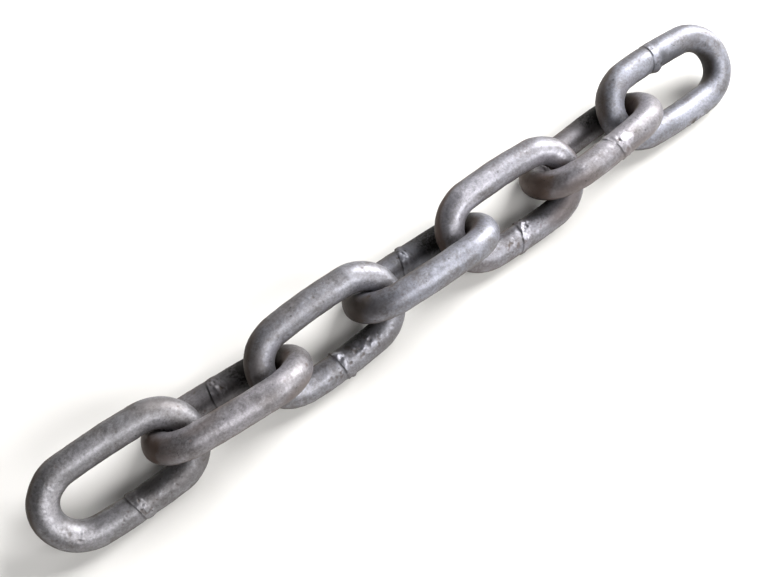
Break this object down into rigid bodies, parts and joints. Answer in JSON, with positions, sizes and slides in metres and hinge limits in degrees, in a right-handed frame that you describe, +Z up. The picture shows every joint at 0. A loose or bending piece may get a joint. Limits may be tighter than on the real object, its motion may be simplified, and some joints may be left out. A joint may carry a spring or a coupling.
{
  "type": "length of iron chain",
  "caption": "Short straight length of welded round-steel link chain lying on the ground, links leaning to alternate sides.",
  "frame": {"origin": "on the ground, under the middle of the chain's bounding box", "axes": "+X along the chain, towards the link with the widest turn; +Z up"},
  "size_m": [0.6378, 0.073, 0.0597],
  "materials": {
    "link_1_steel": "worn bare steel with a light bloom of rust",
    "link_2_steel": "worn bare steel with a light bloom of rust",
    "link_3_steel": "worn bare steel with a light bloom of rust",
    "link_4_steel": "worn bare steel with a light bloom of rust",
    "link_5_steel": "worn bare steel with a light bloom of rust",
    "link_6_steel": "worn bare steel with a light bloom of rust",
    "link_7_steel": "worn bare steel with a light bloom of rust"
  },
  "bodies": {
    "link_1": {"link_1": "link_1_steel"},
    "link_2": {"link_2": "link_2_steel"},
    "link_3": {"link_3": "link_3_steel"},
    "link_4": {"link_4": "link_4_steel"},
    "link_5": {"link_5": "link_5_steel"},
    "link_6": {"link_6": "link_6_steel"},
    "link_7": {"link_7": "link_7_steel"}
  },
  "joints": [
    {"name": "swing_2", "type": "hinge", "parent": "link_1", "child": "link_2", "pos_m": [-0.19903, -0.00338, 0.02922], "axis": [0.0497, 0.6929, 0.7193], "range_deg": [-60, 60]},
    {"name": "swing_3", "type": "hinge", "parent": "link_2", "child": "link_3", "pos_m": [-0.11437, -0.00805, 0.02829], "axis": [0.0151, -0.7192, 0.6947], "range_deg": [-60, 60]},
    {"name": "swing_4", "type": "hinge", "parent": "link_3", "child": "link_4", "pos_m": [-0.0305, -0.00465, 0.03013], "axis": [0.0196, 0.7006, 0.7133], "range_deg": [-60, 60]},
    {"name": "swing_5", "type": "hinge", "parent": "link_4", "child": "link_5", "pos_m": [0.05554, -0.00498, 0.02844], "axis": [-0.0131, -0.6819, 0.7314], "range_deg": [-60, 60]},
    {"name": "swing_6", "type": "hinge", "parent": "link_5", "child": "link_6", "pos_m": [0.14116, -0.00501, 0.02974], "axis": [-0.0389, 0.6549, 0.7547], "range_deg": [-60, 60]},
    {"name": "swing_7", "type": "hinge", "parent": "link_6", "child": "link_7", "pos_m": [0.22444, 0.00209, 0.02732], "axis": [0.035, -0.5739, 0.8182], "range_deg": [-60, 60]}
  ]
}
